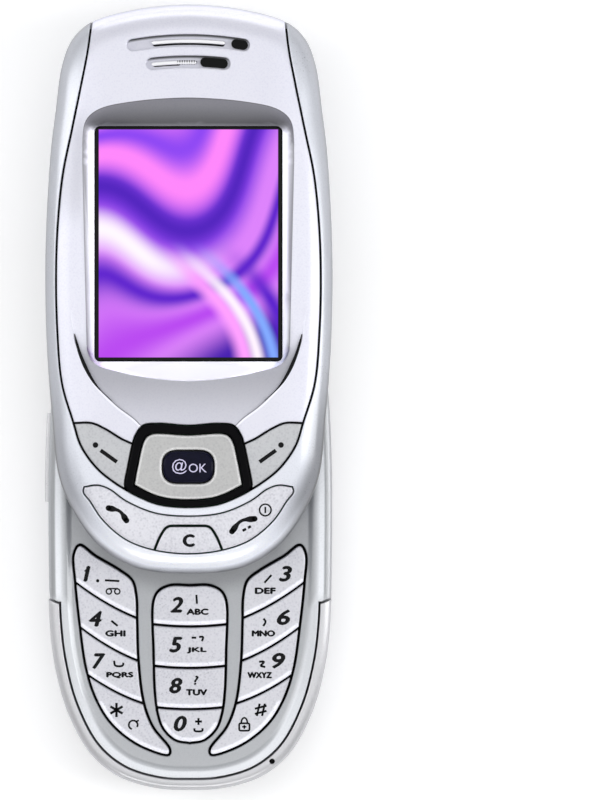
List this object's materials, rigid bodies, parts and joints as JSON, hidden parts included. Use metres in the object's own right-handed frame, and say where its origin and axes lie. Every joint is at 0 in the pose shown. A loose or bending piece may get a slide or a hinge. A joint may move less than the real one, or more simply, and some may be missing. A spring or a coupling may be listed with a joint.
{
  "type": "slider mobile phone",
  "caption": "Slider mobile phone: display half that slides shut over a number keypad, with camera, mirror and battery on the back.",
  "frame": {"origin": "centre of the keypad half's flat back, on the surface that the phone lies on", "axes": "+X to the phone's right as its user sees it, +Y towards the top end with the earpiece, +Z out of the display"},
  "size_m": [0.0465, 0.1265, 0.0224],
  "materials": {
    "silver_paint": "silver metallic paint, satin",
    "pale_silver_paint": "pale silver metallic paint, satin",
    "key_silver": "silver-grey clear-coated key",
    "pad_silver": "silver-grey key",
    "chrome_trim": "bright",
    "mirror_metal": "polished convex",
    "grey_steel": "satin",
    "black_gloss": "gloss black",
    "black_matt": "matt black",
    "dark_grey_plastic": "dark grey moulded",
    "grey_rubber": "grey rubber",
    "navy_gloss": "dark blue gloss",
    "screen_glass": "lit screen under clear plastic",
    "board_green": "circuit board",
    "contact_copper": "plated",
    "card_white": "plain card",
    "lamp_clear": "clear lens over a lamp"
  },
  "bodies": {
    "keypad_half": {"base_front_housing": "pale_silver_paint", "base_rear_housing": "silver_paint", "upper_back_cover": "silver_paint", "battery_pack": "silver_paint", "battery_cell": "dark_grey_plastic", "battery_contacts": "contact_copper", "main_board": "board_green", "shield_can": "grey_steel", "key_mat": "grey_rubber", "sim_holder": "grey_steel", "sim_card": "card_white", "loudspeaker": "black_matt", "vibration_motor": "grey_steel", "internal_aerial": "contact_copper", "microphone": "grey_steel", "system_connector": "grey_steel", "connector_cover": "grey_rubber", "slide_carriage": "grey_steel"},
    "display_half": {"slider_frame": "silver_paint", "slider_fascia": "pale_silver_paint", "slider_rear_cover": "silver_paint", "display_window": "screen_glass", "display_module": "black_gloss", "earpiece_bar_upper": "chrome_trim", "earpiece_bar_lower": "chrome_trim", "receiver": "black_matt", "function_board": "board_green", "pad_frame": "black_gloss", "slide_plate": "grey_steel", "slide_rail_left": "chrome_trim", "slide_rail_right": "chrome_trim", "camera_plate": "pale_silver_paint", "camera_bezel": "chrome_trim", "camera_lens": "black_gloss", "portrait_mirror": "mirror_metal", "flash_lamp": "lamp_clear", "screw_plug_left": "grey_rubber", "screw_plug_right": "grey_rubber"},
    "latch_button": {"latch_button": "dark_grey_plastic"},
    "volume_key": {"volume_key": "silver_paint"},
    "softkey_left": {"softkey_left": "pad_silver"},
    "softkey_right": {"softkey_right": "pad_silver"},
    "pad_gimbal": {"pad_gimbal": "dark_grey_plastic"},
    "navigation_pad": {"navigation_pad": "pad_silver"},
    "ok_button": {"ok_button": "navy_gloss"},
    "call_end_rocker": {"call_end_rocker": "key_silver"},
    "clear_key": {"clear_key": "key_silver"},
    "key_1": {"key_1": "key_silver"},
    "key_4": {"key_4": "key_silver"},
    "key_7": {"key_7": "key_silver"},
    "key_star": {"key_star": "key_silver"},
    "key_2": {"key_2": "key_silver"},
    "key_5": {"key_5": "key_silver"},
    "key_8": {"key_8": "key_silver"},
    "key_0": {"key_0": "key_silver"},
    "key_3": {"key_3": "key_silver"},
    "key_6": {"key_6": "key_silver"},
    "key_9": {"key_9": "key_silver"},
    "key_hash": {"key_hash": "key_silver"}
  },
  "joints": [
    {"name": "slide_shut", "type": "slide", "parent": "keypad_half", "child": "display_half", "axis": [0, -1, 0], "range_m": [0, 0.0354]},
    {"name": "key_1_press", "type": "slide", "parent": "keypad_half", "child": "key_1", "axis": [0, 0, -1], "range_m": [0, 0.00035], "stiffness_N_per_m": 300},
    {"name": "key_4_press", "type": "slide", "parent": "keypad_half", "child": "key_4", "axis": [0, 0, -1], "range_m": [0, 0.00035], "stiffness_N_per_m": 300},
    {"name": "key_7_press", "type": "slide", "parent": "keypad_half", "child": "key_7", "axis": [0, 0, -1], "range_m": [0, 0.00035], "stiffness_N_per_m": 300},
    {"name": "key_star_press", "type": "slide", "parent": "keypad_half", "child": "key_star", "axis": [0, 0, -1], "range_m": [0, 0.00035], "stiffness_N_per_m": 300},
    {"name": "key_2_press", "type": "slide", "parent": "keypad_half", "child": "key_2", "axis": [0, 0, -1], "range_m": [0, 0.00035], "stiffness_N_per_m": 300},
    {"name": "key_5_press", "type": "slide", "parent": "keypad_half", "child": "key_5", "axis": [0, 0, -1], "range_m": [0, 0.00035], "stiffness_N_per_m": 300},
    {"name": "key_8_press", "type": "slide", "parent": "keypad_half", "child": "key_8", "axis": [0, 0, -1], "range_m": [0, 0.00035], "stiffness_N_per_m": 300},
    {"name": "key_0_press", "type": "slide", "parent": "keypad_half", "child": "key_0", "axis": [0, 0, -1], "range_m": [0, 0.00035], "stiffness_N_per_m": 300},
    {"name": "key_3_press", "type": "slide", "parent": "keypad_half", "child": "key_3", "axis": [0, 0, -1], "range_m": [0, 0.00035], "stiffness_N_per_m": 300},
    {"name": "key_6_press", "type": "slide", "parent": "keypad_half", "child": "key_6", "axis": [0, 0, -1], "range_m": [0, 0.00035], "stiffness_N_per_m": 300},
    {"name": "key_9_press", "type": "slide", "parent": "keypad_half", "child": "key_9", "axis": [0, 0, -1], "range_m": [0, 0.00035], "stiffness_N_per_m": 300},
    {"name": "key_hash_press", "type": "slide", "parent": "keypad_half", "child": "key_hash", "axis": [0, 0, -1], "range_m": [0, 0.00035], "stiffness_N_per_m": 300},
    {"name": "latch_button_press", "type": "slide", "parent": "keypad_half", "child": "latch_button", "axis": [0, 0, 1], "range_m": [0, 0.0008], "stiffness_N_per_m": 400},
    {"name": "volume_key_rock", "type": "hinge", "parent": "keypad_half", "child": "volume_key", "pos_m": [-0.0219, 0.0088, 0.0094], "axis": [0, 0, 1], "range_deg": [-1.8, 1.8], "stiffness_Nm_per_rad": 0.03},
    {"name": "softkey_left_press", "type": "slide", "parent": "display_half", "child": "softkey_left", "axis": [0, 0, -1], "range_m": [0, 0.0003], "stiffness_N_per_m": 300},
    {"name": "softkey_right_press", "type": "slide", "parent": "display_half", "child": "softkey_right", "axis": [0, 0, -1], "range_m": [0, 0.0003], "stiffness_N_per_m": 300},
    {"name": "pad_tilt_up_down", "type": "hinge", "parent": "display_half", "child": "pad_gimbal", "pos_m": [0, 0.00745, 0.0183], "axis": [1, 0, 0], "range_deg": [-2.5, 2.5], "stiffness_Nm_per_rad": 0.02},
    {"name": "pad_tilt_left_right", "type": "hinge", "parent": "pad_gimbal", "child": "navigation_pad", "pos_m": [0, 0.00745, 0.01896], "axis": [0, 1, 0], "range_deg": [-2.5, 2.5], "stiffness_Nm_per_rad": 0.02},
    {"name": "ok_button_press", "type": "slide", "parent": "display_half", "child": "ok_button", "axis": [0, 0, -1], "range_m": [0, 0.0004], "stiffness_N_per_m": 300},
    {"name": "call_end_rock", "type": "hinge", "parent": "display_half", "child": "call_end_rocker", "pos_m": [0, 0, 0.019], "axis": [0, 1, 0], "range_deg": [-1.5, 1.5], "stiffness_Nm_per_rad": 0.05},
    {"name": "clear_key_press", "type": "slide", "parent": "display_half", "child": "clear_key", "axis": [0, 0, -1], "range_m": [0, 0.0003], "stiffness_N_per_m": 300}
  ]
}
